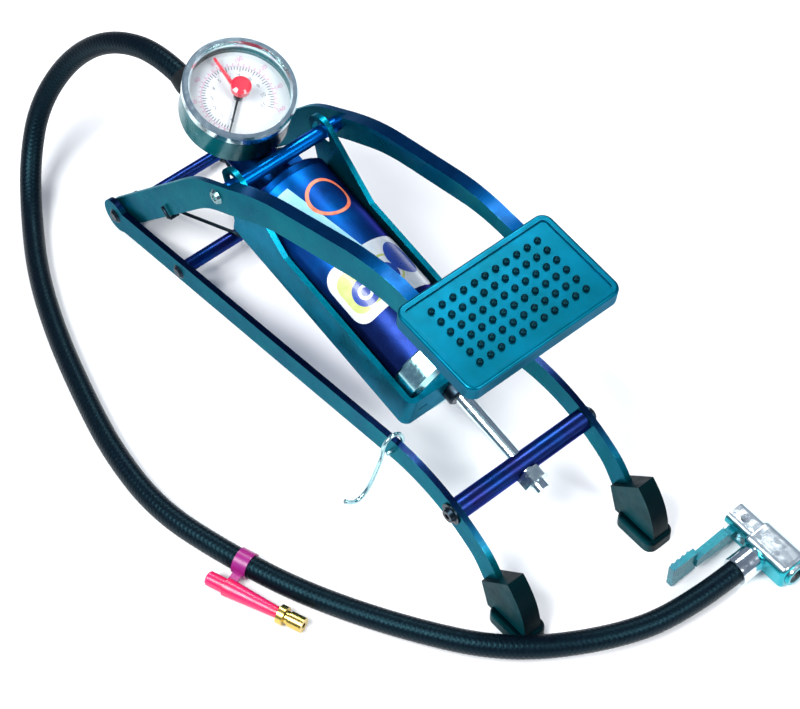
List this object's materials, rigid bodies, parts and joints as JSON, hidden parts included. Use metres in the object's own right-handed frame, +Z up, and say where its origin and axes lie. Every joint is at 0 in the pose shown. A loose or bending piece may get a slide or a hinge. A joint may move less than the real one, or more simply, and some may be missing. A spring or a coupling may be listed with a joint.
{
  "type": "foot pump",
  "caption": "Foot-operated air pump: hinged lever frame with a tread pedal, one sliding barrel, dial gauge, braided hose and clamp-on chuck.",
  "frame": {"origin": "on the floor, midway between the two arms and 0.177 m in front of the rear axle", "axes": "+Z up, -Y towards the feet and pedal, +Y towards the rear axle, X across with the lock hook on the -X side"},
  "size_m": [0.2413, 0.489, 0.1695],
  "materials": {
    "teal_paint": "gloss",
    "blue_metal": "metallic gloss",
    "barrel_paint": "metallic sparkle gloss",
    "chrome": "polished",
    "zinc": "satin",
    "black_screw": "blackened",
    "spring_steel": "dark satin",
    "pedal_plastic": "gloss",
    "stud_rubber": "matte",
    "foot_rubber": "satin",
    "black_plastic": "satin",
    "seal_rubber": "matte",
    "dial_white": "satin",
    "clear": "clear",
    "needle_black": "satin",
    "marker_red": "gloss",
    "braid": "woven",
    "red_plastic": "translucent gloss",
    "brass": "polished"
  },
  "bodies": {
    "base": {"base_arm_left": "teal_paint", "base_arm_right": "teal_paint", "foot_left": "foot_rubber", "foot_right": "foot_rubber", "rear_axle_pin": "black_screw", "rear_axle_tube": "blue_metal", "cross_tube": "blue_metal", "cross_tube_rivets": "black_screw", "front_screws": "black_screw", "front_washers": "black_screw", "return_spring_left": "spring_steel", "return_spring_right": "spring_steel", "hose": "braid", "hose_ferrule": "chrome", "chuck_body": "chrome", "chuck_pin": "zinc", "chuck_seal": "seal_rubber", "adapter_cone": "red_plastic", "adapter_brass": "brass", "adapter_clip": "red_plastic"},
    "hose_end": {"hose_collar": "seal_rubber"},
    "lever": {"lever_arm_left": "teal_paint", "lever_arm_right": "teal_paint", "trunnion_tube": "blue_metal", "trunnion_screws": "zinc", "pedal_plate": "blue_metal", "pedal_rivets": "black_screw", "pedal_cover": "pedal_plastic", "pedal_studs": "stud_rubber"},
    "rod": {"front_tube": "blue_metal", "piston_rod": "chrome", "rod_nuts": "zinc", "piston": "black_plastic", "piston_cup": "seal_rubber", "stop_sleeve": "black_plastic"},
    "barrel": {"barrel_tube": "barrel_paint", "front_cap": "chrome", "gland": "zinc", "yoke": "teal_paint", "head": "black_plastic", "gauge_stem": "brass", "gauge_case": "chrome", "gauge_bezel": "chrome", "gauge_dial": "dial_white", "gauge_arbor": "brass", "gauge_glass": "clear", "hose_union": "zinc"},
    "needle": {"gauge_needle": "needle_black"},
    "marker": {"gauge_marker": "marker_red"},
    "valve": {"check_valve": "seal_rubber"},
    "hook": {"lock_hook": "zinc"},
    "chuck_lever": {"chuck_lever": "black_plastic"}
  },
  "joints": [
    {"name": "lever_pivot", "type": "hinge", "parent": "base", "child": "lever", "pos_m": [0, 0.177, 0.0105], "axis": [1, 0, 0], "range_deg": [0, 20], "stiffness_Nm_per_rad": 6, "springref_deg": -28.65, "deforming": ["hose", "return_spring_left", "return_spring_right"]},
    {"name": "rod_tube_pivot", "type": "hinge", "parent": "base", "child": "rod", "pos_m": [0, -0.1155, 0.0465], "axis": [1, 0, 0], "range_deg": [-10.85, 0]},
    {"name": "barrel_slide", "type": "slide", "parent": "rod", "child": "barrel", "axis": [0, 0.9778, 0.2096], "range_m": [-0.0399, 0]},
    {"name": "needle_turn", "type": "hinge", "parent": "barrel", "child": "needle", "pos_m": [0, 0.11557, 0.11598], "axis": [0, -0.3024, 0.9532], "range_deg": [-270, 0], "stiffness_Nm_per_rad": 0.001},
    {"name": "marker_turn", "type": "hinge", "parent": "barrel", "child": "marker", "pos_m": [0, 0.11557, 0.11598], "axis": [0, -0.3024, 0.9532], "continuous": true},
    {"name": "valve_lift", "type": "slide", "parent": "barrel", "child": "valve", "axis": [0, 0.9778, 0.2096], "range_m": [0, 0.003], "stiffness_N_per_m": 40, "springref_m": -0.001},
    {"name": "hook_swing", "type": "hinge", "parent": "base", "child": "hook", "pos_m": [-0.0442, -0.07, 0.0515], "axis": [1, 0, 0], "range_deg": [-45, 35]},
    {"name": "chuck_lever_turn", "type": "hinge", "parent": "base", "child": "chuck_lever", "pos_m": [0.08, -0.201, 0.0092], "axis": [0, 0, 1], "range_deg": [-18, 0]},
    {"name": "hose_end_travel", "type": "slide", "parent": "base", "child": "hose_end", "axis": [0, -0.5502, -0.835], "range_m": [0, 0.062]}
  ],
  "couplings": [
    {"joint": "rod_tube_pivot", "follows": "lever_pivot", "ratio": -0.542},
    {"joint": "barrel_slide", "follows": "lever_pivot", "m_per_rad": -0.1143},
    {"joint": "hose_end_travel", "follows": "lever_pivot", "m_per_rad": 0.1768}
  ]
}
